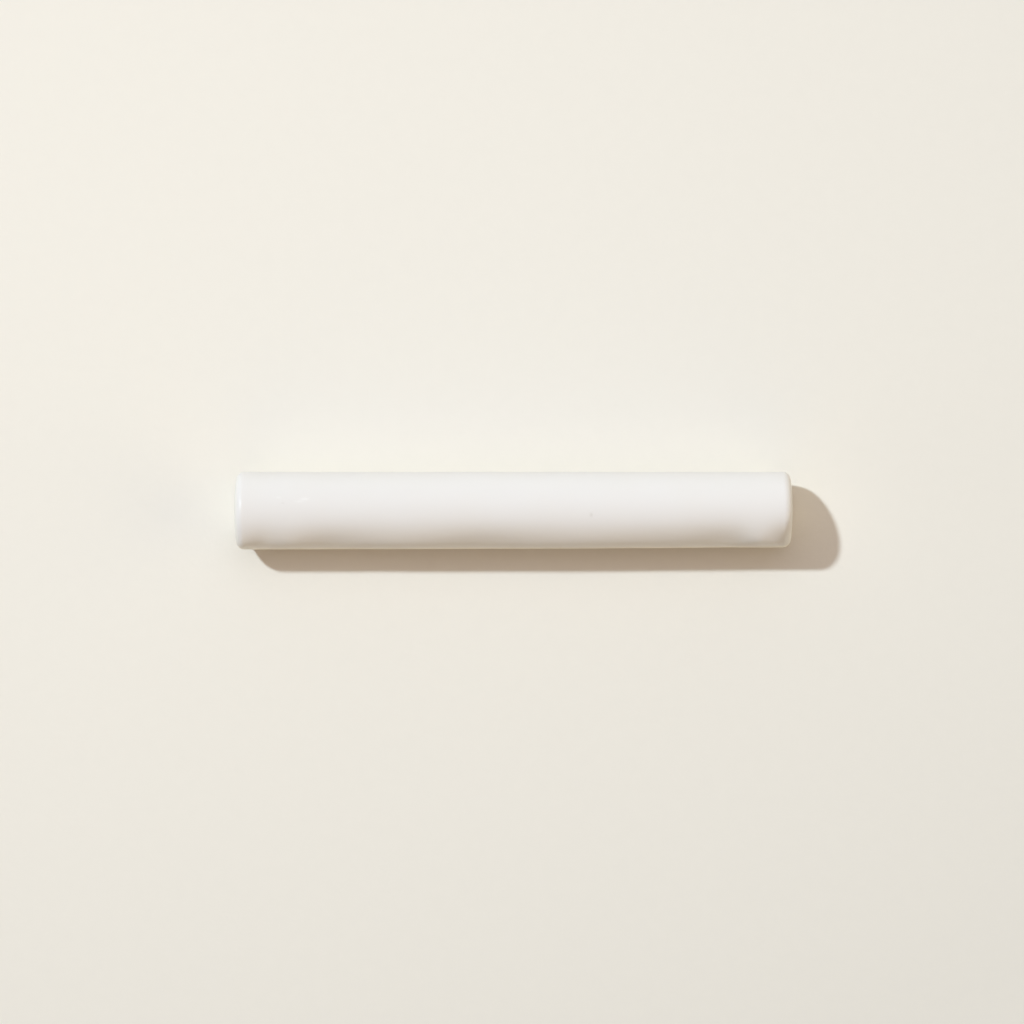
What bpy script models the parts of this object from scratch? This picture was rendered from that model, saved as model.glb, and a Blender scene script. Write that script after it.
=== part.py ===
"""Round-topped glazed ceramic trim tile, one fired piece lying on its flat back.

The tile runs along X. Its crown is a half circle across the full width, its long
sides lean inward below the widest line down to a narrower flat back, and the two
square ends have softly rounded rims. It is a hand-finished piece, a little
narrower at one end. The origin is the centre of the back.
"""

import math

import bmesh
import bpy

# Driving dimensions, in metres and degrees
LENGTH = 0.150
WIDTH = 0.0210                  # at the wider end, -X
NARROWING = 0.0006              # how much less wide the other end is
CROWN_RADIUS = 0.01035          # the crown's rise above the widest line
WIDEST_LINE_HEIGHT = 0.00975    # from the back up to where the tile is widest
SIDE_LEAN = 20.4                # how far each long side leans inward from upright
END_ROUNDING = 0.0022           # radius of the rim round each end
FOOT_ROUNDING = 0.0006          # radius of the edge round the back

# How finely the round stretches are divided
CROWN_STEPS = 32                # over the half circle, even so that a point lies on its top
TURN_UNDER_STEPS = 4            # on each side, below the widest line
ROUNDING_STEPS = 6

# Finish, as it reads in the photo
GLAZE_WHITE = (0.80, 0.775, 0.755, 1.0)
GLAZE_ROUGHNESS = 0.38


def clear_scene():
    for old in list(bpy.data.objects):
        bpy.data.objects.remove(old)


def make_collection(name):
    collection = bpy.data.collections.new(name)
    bpy.context.scene.collection.children.link(collection)
    return collection


def glaze_material():
    """Satin white glaze."""
    material = bpy.data.materials.new("white_glaze")
    material.use_nodes = True
    shader = material.node_tree.nodes["Principled BSDF"]
    shader.inputs["Base Color"].default_value = GLAZE_WHITE
    shader.inputs["Roughness"].default_value = GLAZE_ROUGHNESS
    shader.inputs["Metallic"].default_value = 0.0
    return material


def section_outline():
    """Corners of the section as (across, up): one turn of the crown's arc, then the flat back.

    The arc runs past the widest line on both sides by the sides' lean, so that
    each straight side leaves it at a tangent.
    """
    lean = math.radians(SIDE_LEAN)
    angles = [-lean * (1 - step / TURN_UNDER_STEPS) for step in range(TURN_UNDER_STEPS)]
    angles += [math.pi * step / CROWN_STEPS for step in range(CROWN_STEPS + 1)]
    angles += [math.pi + lean * (step + 1) / TURN_UNDER_STEPS for step in range(TURN_UNDER_STEPS)]
    outline = []
    for angle in angles:
        across = CROWN_RADIUS * math.cos(angle)
        up = WIDEST_LINE_HEIGHT + CROWN_RADIUS * math.sin(angle)
        outline.append((across, up))
    side_bottom = CROWN_RADIUS / math.cos(lean) - WIDEST_LINE_HEIGHT * math.tan(lean)
    outline.append((-side_bottom, 0.0))
    outline.append((side_bottom, 0.0))
    return outline


def section_curve(collection):
    """The section as a filled flat outline, drawn out to the tile's length."""
    curve = bpy.data.curves.new("section", "CURVE")
    curve.dimensions = "2D"
    curve.fill_mode = "BOTH"
    curve.extrude = LENGTH / 2
    outline = section_outline()
    spline = curve.splines.new("POLY")
    spline.points.add(len(outline) - 1)
    for point, (across, up) in zip(spline.points, outline):
        point.co = (across, up, 0.0, 1.0)
    spline.use_cyclic_u = True
    bar = bpy.data.objects.new("section", curve)
    # the outline's own X and Y become the tile's Y and Z, and its extrusion runs along X
    bar.rotation_euler = (math.pi / 2, 0.0, math.pi / 2)
    collection.objects.link(bar)
    bpy.context.view_layer.update()
    return bar


def fit_widths(cage):
    """Brings each end of the drawn-out section to its own width."""
    for end, width in ((-1, WIDTH), (1, WIDTH - NARROWING)):
        corners = [v for v in cage.verts if v.co.x * end > 0]
        bmesh.ops.scale(cage, vec=(1.0, width / (2 * CROWN_RADIUS), 1.0), verts=corners)


def weigh_edges(cage):
    """Gives each edge to be rounded its share of the larger rounding."""
    largest = max(END_ROUNDING, FOOT_ROUNDING)
    weight = cage.edges.layers.float.new("bevel_weight_edge")
    for edge in cage.edges:
        on_the_back = any(face.normal.z < -0.9 for face in edge.link_faces)
        on_an_end = any(abs(face.normal.x) > 0.9 for face in edge.link_faces)
        if on_the_back:
            edge[weight] = FOOT_ROUNDING / largest
        elif on_an_end:
            edge[weight] = END_ROUNDING / largest


def solid_bar(collection, name):
    """The drawn-out section as one closed mesh, in the tile's own frame."""
    bar = section_curve(collection)
    evaluated = bar.evaluated_get(bpy.context.evaluated_depsgraph_get())
    mesh = bpy.data.meshes.new_from_object(evaluated)
    mesh.transform(bar.matrix_world)
    mesh.name = name
    cage = bmesh.new()
    cage.from_mesh(mesh)
    # a distance far under the smallest rounding joins the loose caps and nothing else
    bmesh.ops.remove_doubles(cage, verts=cage.verts, dist=FOOT_ROUNDING / 50)
    bmesh.ops.dissolve_limit(cage, angle_limit=math.radians(0.5), verts=cage.verts, edges=cage.edges)
    bmesh.ops.recalc_face_normals(cage, faces=cage.faces)
    fit_widths(cage)
    cage.normal_update()
    weigh_edges(cage)
    cage.to_mesh(mesh)
    cage.free()
    bpy.data.objects.remove(bar)
    tile = bpy.data.objects.new(name, mesh)
    collection.objects.link(tile)
    return tile


def round_edges(tile):
    """Rounds the rim of each end and, more tightly, the edge round the back."""
    bevel = tile.modifiers.new("rounded edges", "BEVEL")
    bevel.limit_method = "WEIGHT"
    bevel.width = max(END_ROUNDING, FOOT_ROUNDING)
    bevel.segments = ROUNDING_STEPS
    bevel.use_clamp_overlap = False


def make_trim_tile(collection):
    tile = solid_bar(collection, "trim_tile")
    tile.data.materials.append(glaze_material())
    tile.data.shade_smooth()
    round_edges(tile)
    # keeps the flat ends and back flat in the smooth shading
    tile.modifiers.new("flat faces", "WEIGHTED_NORMAL")
    return tile


def main():
    clear_scene()
    make_trim_tile(make_collection("trim tile"))


main()
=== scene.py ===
"""A white glazed trim tile lying on a sheet of pale paper, seen from straight above."""

import math

import bpy
from mathutils import Euler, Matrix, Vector


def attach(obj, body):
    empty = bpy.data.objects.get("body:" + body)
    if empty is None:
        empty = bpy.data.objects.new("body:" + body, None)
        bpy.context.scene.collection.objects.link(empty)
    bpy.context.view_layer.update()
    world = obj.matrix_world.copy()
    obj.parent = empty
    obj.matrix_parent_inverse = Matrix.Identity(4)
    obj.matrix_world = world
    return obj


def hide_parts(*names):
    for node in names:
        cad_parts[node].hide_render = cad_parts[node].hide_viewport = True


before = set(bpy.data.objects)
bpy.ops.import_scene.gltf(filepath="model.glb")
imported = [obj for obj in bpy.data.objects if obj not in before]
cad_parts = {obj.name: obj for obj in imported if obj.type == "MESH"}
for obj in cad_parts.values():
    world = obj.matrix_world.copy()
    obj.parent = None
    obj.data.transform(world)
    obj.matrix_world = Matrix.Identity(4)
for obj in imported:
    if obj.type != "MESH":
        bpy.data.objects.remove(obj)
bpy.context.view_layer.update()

# The tile's sizes, in metres and radians. The first seven are those of its solid, and the
# others are finer than the solid shows
TILE_SIZES = {
    "Length": 0.150,
    "Wide End": 0.0210,
    "Narrow End": 0.0204,
    "Crown Radius": 0.01035,
    "Widest Line Height": 0.00975,
    "Side Lean": math.radians(20.4),
    "End Rim": 0.0022,
    "Foot Rim": 0.0033,
    "Wide End Bow": 0.00028,
    "Narrow End Bow": 0.00025,
    "Foot Softness": 0.0008,
    "Belly": 0.00025,
    "Glaze Hollow": 0.00005,
    "Hand Waviness": 0.00010,
}

# How finely the surface is divided
AROUND = 144
ALONG = 320
END_RINGS = 14

# A turn is a place round the tile, in radians from the crown's top, plus towards -Y
FOOT_RIM_TURNS = (1.5, 2.2)     # between which the end rim passes into the rounder foot rim
BACK_EDGE_LIFT = 0.75           # of the foot's softness by which the back lifts at an end
BELLY_HALF_LENGTH = 0.045
BELLY_TURN = 1.05
BELLY_HALF_TURN = 0.57
WAVES_ALONG = 45.0              # steps of the waviness to the metre
WAVES_ROUND = 0.9               # and how far it changes round the tile
RISE_LIMIT = 0.6                # of the glaze hollow, where a rise is held in
RISE_LIMIT_SOFTNESS = 0.00003
NEAR_NOTHING = 0.0001           # keeps a division from meeting nothing

# Low swells and hollows of the glaze on the -Y flank, as: where along the tile, the turn,
# the rise, and half lengths along and round
SWELLS = (
    (0.0, 0.42, 0.00032, 0.1500, 0.38),
    (0.0, 1.13, 0.00010, 0.1500, 0.60),
    (-0.0728, 1.13, 0.00168, 0.0045, 0.60),
    (-0.0605, 1.13, 0.00105, 0.0060, 0.60),
    (-0.0490, 1.13, -0.00030, 0.0060, 0.60),
    (-0.0290, 1.13, 0.00072, 0.0110, 0.60),
    (-0.0065, 1.13, -0.00042, 0.0100, 0.60),
    (0.0220, 1.13, 0.00062, 0.0150, 0.60),
    (0.0570, 1.05, -0.00058, 0.0080, 0.60),
    (0.0668, 1.00, 0.00140, 0.0044, 0.50),
    (0.0711, 1.12, 0.00080, 0.0022, 0.28),
    (0.0765, 0.95, -0.00160, 0.0048, 0.50),
)
SHAPE_SHARE = 0.10              # of a swell's rise that is in the shape, the rest being relief

# Faint painted glints on the crown (plus) and grey flecks in its glaze (minus), as: where along the
# tile, the turn, half lengths along and round, and how far towards pale (plus) or grey (minus)
PAINTED_GLINTS_AND_FLECKS = (
    (-0.0561, -0.305, 0.0011, 0.035, 0.45),
    (-0.0575, -0.240, 0.0012, 0.030, 0.30),
    (-0.0631, -0.350, 0.0006, 0.030, 0.25),
    (-0.0619, -0.196, 0.0005, 0.022, -0.10),
    (0.0209, 0.127, 0.0004, 0.055, -0.20),
)

# Where the glaze changes, and the light and shade painted on it. A rim turn is how far a rim has
# turned, from 0 on the body to 1 on the end faces, and a height is from the back up
BODY_FADE = (0.40, 0.97)        # rim turns over which what is placed by its turn fades out
PAINTED_REFLECTION_FLANK = (1.18, 1.45)      # turns over which painted reflected light, pale and creamy, comes in down the -Y flank
PAINTED_REFLECTION_RIM = (0.08, 0.40)        # rim turns over which the painted reflected light comes in over the rims
PAINTED_REFLECTION_RIM_SHARE = 0.35
LOW_SHADE_HEIGHTS = (0.0060, 0.0092)
LOW_SHADE_END_FADE = (0.30, 0.90)      # rim turns over which the painted shade low down fades towards the ends
LOW_SHADE_SHARE_ON_END = 0.3
BARE_HEIGHTS = (0.00035, 0.00055)
BARE_EDGE_WANDER = 0.0006

# Fine textures: their scales to the metre, and what they do
CLOUD_SCALE = 70.0
CLOUD_RANGE = (0.35, 0.75)
CLOUD_SHARE = 0.10
SATIN_SCALE = 110.0
SATIN_RANGE = (0.3, 0.7)
SATIN_ROUGHNESS = (0.29, 0.33)
BARE_EDGE_SCALE = 160.0
PEEL_SCALE = 420.0
PEEL_RISE = 0.000010
GRIT_SCALE = 1400.0
GRIT_RISE = 0.00006
PINHOLE_SCALE = 230.0
PINHOLE_REACH = (0.02, 0.07)
PINHOLE_RARITY = 0.975          # the share of places that have none
PINHOLE_DARKNESS = 0.45
PINHOLE_DEPTH = 0.00008

# The glaze's matt body under its thin satin coat
BODY_ROUGHNESS = 0.5
BODY_SPECULAR = 0.12
COAT_WEIGHT = 0.30

# The paper, with a painted falloff of light. Its tone falls away for each metre along X and Y, and
# with the squares of both
PAPER_SLOPES = (-0.27, 0.42)
PAPER_CURVES = (0.5, 1.4)
PAPER_LIMIT = 0.12              # the most that its painted falloff departs from even
BEHIND_TILE_Y = (0.014, 0.0145)  # middle and half width of a patch of painted shade
BEHIND_TILE_HALF_LENGTH = 0.09
BEHIND_TILE_PAINTED_SHADE = 0.015
FIBRE_SCALE = 260.0
FIBRE_SHARE = 0.02
TOOTH_SCALE = 700.0
TOOTH_RISE = 0.00004
PAPER_ROUGHNESS = 0.9
PAPER_SPECULAR = 0.15
FLOOR_HALF_WIDTH = 3.0

# Colours, as they read by daylight
GLAZE_WHITE = (0.80, 0.775, 0.755, 1.0)
GLAZE_CREAM = (0.77, 0.715, 0.645, 1.0)
# painted reflected light from the paper, for the -Y flank and the rims
GLAZE_PAINTED_REFLECTION = (0.91, 0.86, 0.78, 1.0)
# painted shade, low on the long sides
GLAZE_LOW_PAINTED_SHADE = (0.68, 0.62, 0.54, 1.0)
# painted glint
GLAZE_PAINTED_GLINT = (0.90, 0.885, 0.870, 1.0)
PINHOLE_GREY = (0.42, 0.37, 0.32, 1.0)
BARE_CLAY = (0.66, 0.56, 0.45, 1.0)
CLAY_GRIT = (0.5676, 0.4816, 0.387, 1.0)
PAPER = (0.859, 0.828, 0.760, 1.0)
NO_LIGHT = (0.0, 0.0, 0.0, 1.0)

# The lamps, as: name, sideways along and across for each unit of height towards the
# lamp, strength, how wide it looks in degrees, and colour
LAMPS = (
    ("key", -0.725, 0.508, 2.40, 3.6, (0.80, 0.92, 1.0)),
    ("far side", 0.0, 1.19, 0.80, 90.0, (1.0, 0.98, 0.91)),
    ("low right side", 2.75, 0.0, 0.74, 50.0, (1.0, 0.88, 0.59)),
    ("low near side", 0.0, -2.75, 0.47, 50.0, (1.0, 0.75, 0.33)),
    ("overhead", 0.0, 0.0, 0.76, 90.0, (1.0, 0.80, 0.80)),
)
LAMP_DISTANCE = 0.6             # which makes no difference to the light of a distant lamp

# The camera's place and lens
CAMERA_HEIGHT = 2.5
CAMERA_AIM = (-0.00038, -0.00050)
CAMERA_ROLL = -0.0019
VIEW_WIDTH = 0.2772             # of floor across the picture
SENSOR_WIDTH = 36.0
FARTHEST_SEEN = 20.0


class Amount:
    """A number at every point of a tree, worked out by Math nodes."""

    def __init__(self, tree, socket):
        self.tree = tree
        self.socket = socket

    def work(self, operation, *others):
        node = self.tree.nodes.new("ShaderNodeMath")
        node.operation = operation
        for place, value in zip(node.inputs, (self, *others)):
            set_or_link(self.tree, place, value)
        return Amount(self.tree, node.outputs[0])

    def __add__(self, other):
        return self.work("ADD", other)

    def __sub__(self, other):
        return self.work("SUBTRACT", other)

    def __mul__(self, other):
        return self.work("MULTIPLY", other)

    def __truediv__(self, other):
        return self.work("DIVIDE", other)

    def less_than_from(self, whole):
        """whole minus this"""
        return (self * -1.0) + whole

    def squared(self):
        return self * self

    def bell(self, middle, half_width):
        """1 at the middle, falling smoothly to nothing past a few half widths"""
        off = (self - middle) / half_width
        return (off.squared() * -1.0).work("EXPONENT")


def set_or_link(tree, place, value):
    """Gives a node's input a fixed value, or what another node works out."""
    if isinstance(value, Amount):
        tree.links.new(value.socket, place)
    elif isinstance(value, bpy.types.NodeSocket):
        tree.links.new(value, place)
    else:
        place.default_value = value


def add_node(tree, kind, **inputs):
    """A node with its inputs linked or set, by their names."""
    node = tree.nodes.new(kind)
    for name, value in inputs.items():
        set_or_link(tree, node.inputs[name.replace("_", " ")], value)
    return node


def xyz(tree, x, y, z):
    return add_node(tree, "ShaderNodeCombineXYZ", X=x, Y=y, Z=z).outputs[0]


def noise(tree, where, scale, detail=2.0, roughness=0.5):
    node = add_node(tree, "ShaderNodeTexNoise", Vector=where, Scale=scale, Detail=detail,
                    Roughness=roughness)
    return Amount(tree, node.outputs[0])


def ramp(tree, value, low, high, at_low=0.0, at_high=1.0):
    """value carried smoothly from one range to another"""
    node = add_node(tree, "ShaderNodeMapRange", Value=value, From_Min=low, From_Max=high,
                    To_Min=at_low, To_Max=at_high)
    node.interpolation_type = "SMOOTHSTEP"
    return Amount(tree, node.outputs[0])


def blend_colours(tree, share, first, second):
    """The first colour where the share is 0, and the second where it is 1."""
    node = tree.nodes.new("ShaderNodeMix")
    node.data_type = "RGBA"
    for place, value in ((0, share), (6, first), (7, second)):
        set_or_link(tree, node.inputs[place], value)
    return node.outputs[2]


def rim_inset(rounding, from_end):
    """How far a rounded rim has drawn in at a distance from the end."""
    short = from_end.less_than_from(rounding).work("MAXIMUM", 0.0)
    chord = (rounding.squared() - short.squared()).work("MAXIMUM", 0.0).work("SQRT")
    return rounding - chord


def section_reach(size, rim, down, from_end, wander):
    """Distance from the crown's centre line out to the surface, in each direction.

    down is the sine of the direction's angle below the horizontal. Down to the side
    lean the section is a circle, below it a straight side at a tangent, and at the
    bottom the flat back.
    """
    below_tangent = (down.work("ARCSINE") - size["Side Lean"]).work("MAXIMUM", 0.0)
    radius = size["Crown Radius"] - size["Glaze Hollow"] - rim_inset(rim, from_end)
    rounded = (radius + wander) / below_tangent.work("COSINE")
    back_lift = rim_inset(size["Foot Softness"], from_end) * BACK_EDGE_LIFT
    flat = (size["Widest Line Height"] - back_lift) / down.work("MAXIMUM", NEAR_NOTHING)
    return rounded.work("SMOOTH_MIN", flat, size["Foot Softness"])


def swell_rise(along, turn):
    """The swells together, as a rise at a place along the tile and a turn round it."""
    rise = along * 0.0
    for middle, middle_turn, height, half_length, half_turn in SWELLS:
        rise = rise + along.bell(middle, half_length) * turn.bell(middle_turn, half_turn) * height
    return rise


def hand_finish(tree, size, along, turn):
    """The tile's gentle unevenness, as a rise or fall of its surface."""
    round_x = turn.work("COSINE") * WAVES_ROUND
    round_y = turn.work("SINE") * WAVES_ROUND
    unevenness = noise(tree, xyz(tree, along * WAVES_ALONG, round_x, round_y), 1.0, 1.0, 0.35)
    rise = (unevenness - 0.5) * 2.0 * size["Hand Waviness"]
    rise = rise + swell_rise(along, turn) * SHAPE_SHARE
    rise = rise.work("SMOOTH_MIN", size["Glaze Hollow"] * RISE_LIMIT, RISE_LIMIT_SOFTNESS)
    # the flank is a little fuller in the middle of the tile, where the taper leaves room
    fuller = along.bell(0.0, BELLY_HALF_LENGTH) * turn.bell(BELLY_TURN, BELLY_HALF_TURN)
    return rise + fuller * size["Belly"]


def tree_for_tile():
    """An empty tree that takes the tile's sizes and its glaze."""
    tree = bpy.data.node_groups.new("glazed trim tile", "GeometryNodeTree")
    face = tree.interface
    face.new_socket("Geometry", in_out="INPUT", socket_type="NodeSocketGeometry")
    face.new_socket("Geometry", in_out="OUTPUT", socket_type="NodeSocketGeometry")
    for name in TILE_SIZES:
        face.new_socket(name, in_out="INPUT", socket_type="NodeSocketFloat")
    face.new_socket("Glaze", in_out="INPUT", socket_type="NodeSocketMaterial")
    return tree


def capped_tube(tree):
    """A tube of radius 1 that reaches from -1 to 1 along Z, closed at both ends."""
    tube = add_node(tree, "GeometryNodeMeshCylinder", Vertices=AROUND, Side_Segments=ALONG,
                    Fill_Segments=END_RINGS, Radius=1.0, Depth=2.0)
    tube.fill_type = "TRIANGLE_FAN"
    return tube.outputs["Mesh"]


def along_tile(size, axial, flat_x):
    """Each point's place along the tile, and its distance from the nearer end."""
    # rings crowd towards the ends, where the rims turn
    half_body = size["Length"] * 0.5
    inward = axial.work("ABSOLUTE").less_than_from(1.0)
    from_end = half_body * inward.squared()
    # seen from above the ends are slightly bowed, which fades along the body
    at_narrow = axial.work("GREATER_THAN", 0.0)
    bow = size["Wide End Bow"] + (size["Narrow End Bow"] - size["Wide End Bow"]) * at_narrow
    drawn_in = bow * flat_x.squared() * (from_end / half_body).less_than_from(1.0)
    return axial.work("SIGN") * (half_body - from_end - drawn_in), from_end


def tile_tree():
    """The tile as a tree: a capped tube whose points are moved to the tile's surface."""
    tree = tree_for_tile()
    made = tree.nodes.new("NodeGroupInput")
    done = tree.nodes.new("NodeGroupOutput")
    size = {name: Amount(tree, made.outputs[name]) for name in TILE_SIZES}
    tube = capped_tube(tree)
    position = tree.nodes.new("GeometryNodeInputPosition").outputs[0]
    parts = add_node(tree, "ShaderNodeSeparateXYZ", Vector=position)
    flat_x, flat_y, axial = (Amount(tree, out) for out in parts.outputs)

    spread = (flat_x.squared() + flat_y.squared()).work("SQRT")
    sine = flat_y / spread.work("MAXIMUM", NEAR_NOTHING)
    cosine = flat_x / spread.work("MAXIMUM", NEAR_NOTHING)
    turn = (cosine * -1.0).work("ARCTAN2", sine)
    along, from_end = along_tile(size, axial, flat_x)

    # the rims are even over the crown, and rounder below the widest line
    lower = ramp(tree, turn.work("ABSOLUTE"), *FOOT_RIM_TURNS)
    rim = size["End Rim"] + (size["Foot Rim"] - size["End Rim"]) * lower
    wander = hand_finish(tree, size, along, turn)
    reach = section_reach(size, rim, sine * -1.0, from_end, wander) * spread
    narrowing = (along / size["Length"]) + 0.5
    width = size["Wide End"] + (size["Narrow End"] - size["Wide End"]) * narrowing
    squeeze = width / (size["Crown Radius"] * 2.0)
    across = reach * cosine * squeeze
    up = size["Widest Line Height"] + reach * sine

    # how far a rim has turned, from none on the body to 1 on the end, which the finish reads
    marked = add_node(tree, "GeometryNodeStoreNamedAttribute", Geometry=tube, Name="rim_turn",
                      Value=rim_inset(rim, from_end) / rim)
    moved = add_node(tree, "GeometryNodeSetPosition", Geometry=marked.outputs[0],
                     Position=xyz(tree, along, across, up))
    smooth = add_node(tree, "GeometryNodeSetShadeSmooth", Geometry=moved.outputs[0])
    whole = add_node(tree, "GeometryNodeRealizeInstances", Geometry=smooth.outputs[0])
    glazed = add_node(tree, "GeometryNodeSetMaterial", Geometry=whole.outputs[0],
                      Material=made.outputs["Glaze"])
    tree.links.new(glazed.outputs[0], done.inputs[0])
    return tree


def make_tile(glaze):
    """The finished tile as a plain mesh at the origin."""
    tree = tile_tree()
    blank = bpy.data.objects.new("blank", bpy.data.meshes.new("blank"))
    bpy.context.scene.collection.objects.link(blank)
    modifier = blank.modifiers.new("tile", "NODES")
    modifier.node_group = tree
    for socket in tree.interface.items_tree:
        if socket.in_out == "INPUT" and socket.name in TILE_SIZES:
            modifier[socket.identifier] = TILE_SIZES[socket.name]
        if socket.name == "Glaze":
            modifier[socket.identifier] = glaze
    bpy.context.view_layer.update()
    evaluated = blank.evaluated_get(bpy.context.evaluated_depsgraph_get())
    mesh = bpy.data.meshes.new_from_object(evaluated)
    bpy.data.objects.remove(blank)
    mesh.name = "glazed_tile"
    tile = bpy.data.objects.new("glazed_tile", mesh)
    bpy.context.scene.collection.objects.link(tile)
    return tile


def new_material(name):
    material = bpy.data.materials.new(name)
    material.use_nodes = True
    tree = material.node_tree
    return material, tree, tree.nodes["Principled BSDF"]


class Spot:
    """Where a point of the finish lies on the tile."""

    def __init__(self, tree):
        self.where = tree.nodes.new("ShaderNodeTexCoord").outputs["Object"]
        parts = add_node(tree, "ShaderNodeSeparateXYZ", Vector=self.where)
        self.along, across, self.height = (Amount(tree, out) for out in parts.outputs)
        above_widest = self.height - TILE_SIZES["Widest Line Height"]
        self.turn = (across * -1.0).work("ARCTAN2", above_widest)
        mark = tree.nodes.new("ShaderNodeAttribute")
        mark.attribute_name = "rim_turn"
        self.rim_turn = Amount(tree, mark.outputs["Fac"])
        # what is placed by its turn stops short of the end faces, at whose middle it is undefined
        self.on_body = ramp(tree, self.rim_turn, *BODY_FADE, 1.0, 0.0)


def glaze_tone(tree, spot):
    """White, faintly clouded, with painted reflected light, paler and creamier, down the -Y flank and
    over the rims, and painted shade, darker and warmer, low down.
    """
    clouds = noise(tree, spot.where, CLOUD_SCALE, 3.0)
    clouded = ramp(tree, clouds, *CLOUD_RANGE, 0.0, CLOUD_SHARE)
    colour = blend_colours(tree, clouded, GLAZE_WHITE, GLAZE_CREAM)
    # painted reflected light from the paper: paler and creamier down the -Y flank and over the rims
    reflection_down_flank = ramp(tree, spot.turn, *PAINTED_REFLECTION_FLANK) * spot.on_body
    reflection_over_rim = ramp(tree, spot.rim_turn, *PAINTED_REFLECTION_RIM) * PAINTED_REFLECTION_RIM_SHARE
    colour = blend_colours(tree, reflection_down_flank.work("MAXIMUM", reflection_over_rim), colour, GLAZE_PAINTED_REFLECTION)
    # low on the long sides it is painted darker and warmer, a painted shade that also darkens the
    # crease on the paper beside the tile
    low = ramp(tree, spot.height, *LOW_SHADE_HEIGHTS, 1.0, 0.0)
    off_the_ends = ramp(tree, spot.rim_turn, *LOW_SHADE_END_FADE, 1.0, LOW_SHADE_SHARE_ON_END)
    return blend_colours(tree, low * off_the_ends, colour, GLAZE_LOW_PAINTED_SHADE)


def scattered_pinholes(tree, spot):
    """1 in the middle of each of a few tiny pits, and 0 outside them."""
    cells = add_node(tree, "ShaderNodeTexVoronoi", Vector=spot.where, Scale=PINHOLE_SCALE)
    near = ramp(tree, Amount(tree, cells.outputs["Distance"]), *PINHOLE_REACH, 1.0, 0.0)
    lots = add_node(tree, "ShaderNodeSeparateColor", Color=cells.outputs["Color"])
    return near * Amount(tree, lots.outputs[0]).work("GREATER_THAN", PINHOLE_RARITY)


def with_glints_and_flecks(tree, spot, colour, pinholes):
    """The colour with painted glints, the glaze's grey flecks, and its pinholes."""
    pale = spot.along * 0.0
    grey = pinholes * PINHOLE_DARKNESS
    for place, turn, half_length, half_turn, tone in PAINTED_GLINTS_AND_FLECKS:
        mark = spot.along.bell(place, half_length) * spot.turn.bell(turn, half_turn) * abs(tone)
        # a pale mark is a painted glint, a grey one a fleck in the glaze
        if tone > 0:
            pale = pale + mark
        else:
            grey = grey + mark
    colour = blend_colours(tree, pale, colour, GLAZE_PAINTED_GLINT)
    return blend_colours(tree, grey, colour, PINHOLE_GREY)


def glaze_relief(tree, spot, pinholes, bare, grit):
    """The way the surface faces, with its low swells and, over them, its fine texture."""
    swells = add_node(tree, "ShaderNodeBump", Strength=spot.on_body, Distance=1.0,
                      Height=swell_rise(spot.along, spot.turn) * (1.0 - SHAPE_SHARE))
    peel = noise(tree, spot.where, PEEL_SCALE, 2.0) * PEEL_RISE
    fine = peel - pinholes * PINHOLE_DEPTH + bare * (grit * GRIT_RISE)
    bump = add_node(tree, "ShaderNodeBump", Height=fine, Strength=1.0, Distance=1.0,
                    Normal=swells.outputs[0])
    return bump.outputs[0]


def glaze_material():
    """Satin white glaze, which stops just above the back and leaves bare clay below."""
    material, tree, shader = new_material("satin_white_glaze")
    spot = Spot(tree)
    pinholes = scattered_pinholes(tree, spot)
    glaze = with_glints_and_flecks(tree, spot, glaze_tone(tree, spot), pinholes)

    ragged = (noise(tree, spot.where, BARE_EDGE_SCALE, 3.0) - 0.5) * BARE_EDGE_WANDER
    bare = ramp(tree, spot.height + ragged, *BARE_HEIGHTS, 1.0, 0.0)
    grit = noise(tree, spot.where, GRIT_SCALE, 3.0)
    clay = blend_colours(tree, grit, BARE_CLAY, CLAY_GRIT)
    tree.links.new(blend_colours(tree, bare, glaze, clay), shader.inputs["Base Color"])

    # a matt body under a thin satin gloss, which the bare clay lacks
    shader.inputs["Roughness"].default_value = BODY_ROUGHNESS
    shader.inputs["Specular IOR Level"].default_value = BODY_SPECULAR
    satin = ramp(tree, noise(tree, spot.where, SATIN_SCALE, 3.0), *SATIN_RANGE, *SATIN_ROUGHNESS)
    coat = bare.less_than_from(1.0) * COAT_WEIGHT
    tree.links.new(satin.socket, shader.inputs["Coat Roughness"])
    tree.links.new(coat.socket, shader.inputs["Coat Weight"])

    facing = glaze_relief(tree, spot, pinholes, bare, grit)
    tree.links.new(facing, shader.inputs["Normal"])
    tree.links.new(facing, shader.inputs["Coat Normal"])
    return material


def paper_tone(tree, where):
    """The paper's tone, 1 where it is even: a painted falloff of light and painted shade just behind
    the tile, with its fibres.
    """
    place = add_node(tree, "ShaderNodeSeparateXYZ", Vector=where)
    x = Amount(tree, place.outputs[0])
    y = Amount(tree, place.outputs[1])
    # painted light: the tone falls off away from the upper left and towards the edges
    sloping = y * PAPER_SLOPES[1] + x * PAPER_SLOPES[0]
    falling = sloping - y.squared() * PAPER_CURVES[1] - x.squared() * PAPER_CURVES[0]
    # painted shade on the paper just behind the tile
    behind = y.bell(*BEHIND_TILE_Y) * x.bell(0.0, BEHIND_TILE_HALF_LENGTH)
    falling = falling - behind * BEHIND_TILE_PAINTED_SHADE
    falling = falling.work("MAXIMUM", -PAPER_LIMIT).work("MINIMUM", PAPER_LIMIT)
    fibres = (noise(tree, where, FIBRE_SCALE, 4.0) - 0.5) * FIBRE_SHARE
    return falling + fibres + 1.0


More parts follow.
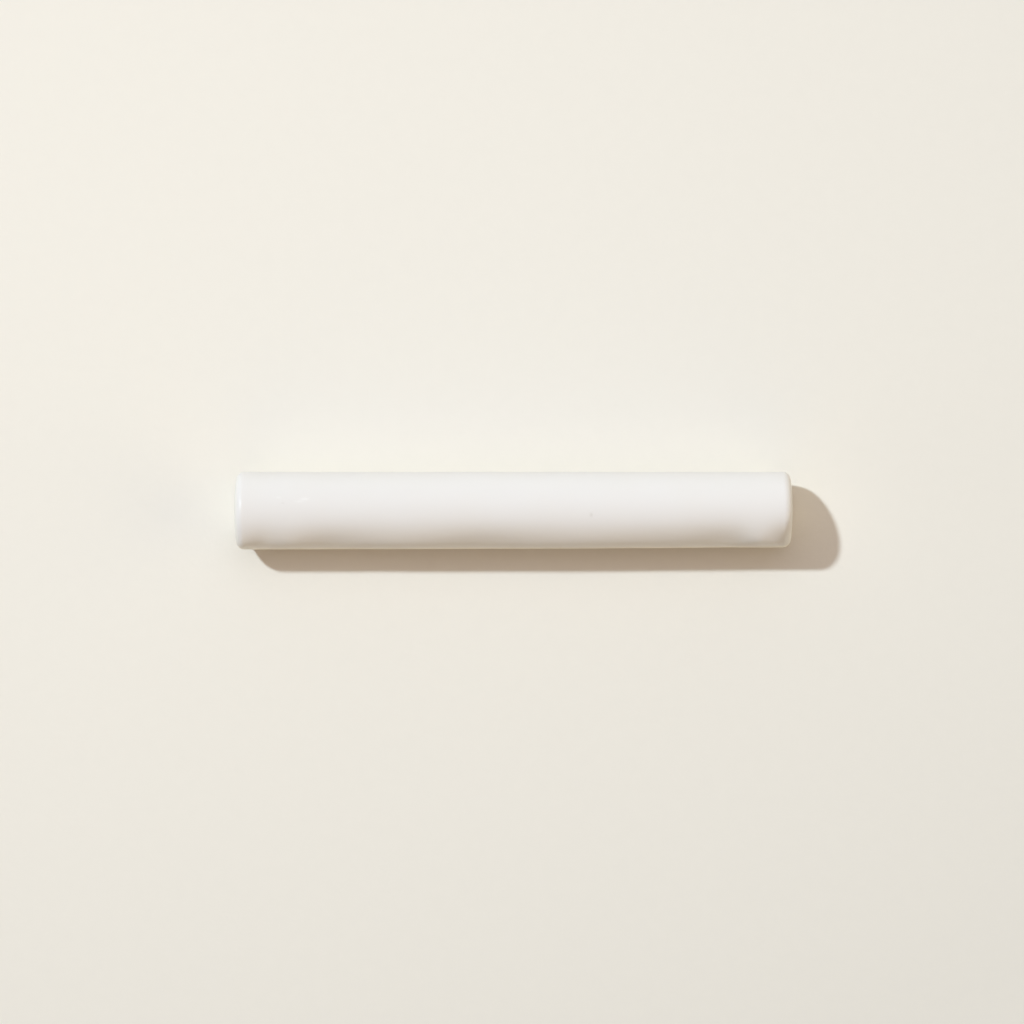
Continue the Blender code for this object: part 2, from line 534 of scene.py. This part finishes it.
def paper_material():
    """Pale matt paper, a touch darker towards its lower right, its edges and just behind the tile,
    which is painted light and shade.
    """
    material, tree, shader = new_material("pale_paper")
    where = tree.nodes.new("ShaderNodeTexCoord").outputs["Object"]
    toned = tree.nodes.new("ShaderNodeVectorMath")
    toned.operation = "SCALE"
    toned.inputs[0].default_value = PAPER[:3]
    tree.links.new(paper_tone(tree, where).socket, toned.inputs["Scale"])
    tree.links.new(toned.outputs[0], shader.inputs["Base Color"])
    shader.inputs["Roughness"].default_value = PAPER_ROUGHNESS
    shader.inputs["Specular IOR Level"].default_value = PAPER_SPECULAR
    tooth = noise(tree, where, TOOTH_SCALE, 4.0) * TOOTH_RISE
    bump = add_node(tree, "ShaderNodeBump", Height=tooth, Strength=1.0, Distance=1.0)
    tree.links.new(bump.outputs[0], shader.inputs["Normal"])
    return material


def make_floor():
    half = FLOOR_HALF_WIDTH
    mesh = bpy.data.meshes.new("floor")
    corners = [(-half, -half, 0.0), (half, -half, 0.0), (half, half, 0.0), (-half, half, 0.0)]
    mesh.from_pydata(corners, [], [(0, 1, 2, 3)])
    mesh.materials.append(paper_material())
    floor = bpy.data.objects.new("floor", mesh)
    bpy.context.scene.collection.objects.link(floor)


def make_world():
    """Surroundings that light nothing, and show the paper's own tone where they are seen."""
    world = bpy.data.worlds.new("surroundings")
    bpy.context.scene.world = world
    world.use_nodes = True
    tree = world.node_tree
    shader = tree.nodes["Background"]
    path = tree.nodes.new("ShaderNodeLightPath")
    seen = Amount(tree, path.outputs["Is Camera Ray"]) + Amount(tree, path.outputs["Is Glossy Ray"])
    seen = (seen + Amount(tree, path.outputs["Is Transmission Ray"])).work("MINIMUM", 1.0)
    tree.links.new(blend_colours(tree, seen, NO_LIGHT, PAPER), shader.inputs["Color"])
    shader.inputs["Strength"].default_value = 1.0


def make_lamps():
    """One small key lamp for the crisp shadow, and broad soft ones that fill it unevenly."""
    for name, along, across, strength, looks, colour in LAMPS:
        lamp = bpy.data.lights.new(name, "SUN")
        lamp.energy = strength
        lamp.angle = math.radians(looks)
        lamp.color = colour
        holder = bpy.data.objects.new(name, lamp)
        towards = Vector((along, across, 1.0)).normalized()
        holder.rotation_euler = towards.to_track_quat("Z", "Y").to_euler()
        holder.location = towards * LAMP_DISTANCE
        bpy.context.scene.collection.objects.link(holder)


def make_camera():
    lens = bpy.data.cameras.new("camera")
    lens.sensor_width = SENSOR_WIDTH
    lens.sensor_fit = "HORIZONTAL"
    lens.lens = SENSOR_WIDTH * CAMERA_HEIGHT / VIEW_WIDTH
    lens.clip_end = FARTHEST_SEEN
    camera = bpy.data.objects.new("camera", lens)
    camera.location = (*CAMERA_AIM, CAMERA_HEIGHT)
    camera.rotation_euler = Euler((0.0, 0.0, CAMERA_ROLL))
    bpy.context.scene.collection.objects.link(camera)
    bpy.context.scene.camera = camera


def main():
    bpy.context.scene.view_settings.view_transform = "Standard"
    make_floor()
    make_world()
    make_lamps()
    make_camera()
    tile = make_tile(glaze_material())
    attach(tile, "root")
    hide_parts("trim_tile")


main()
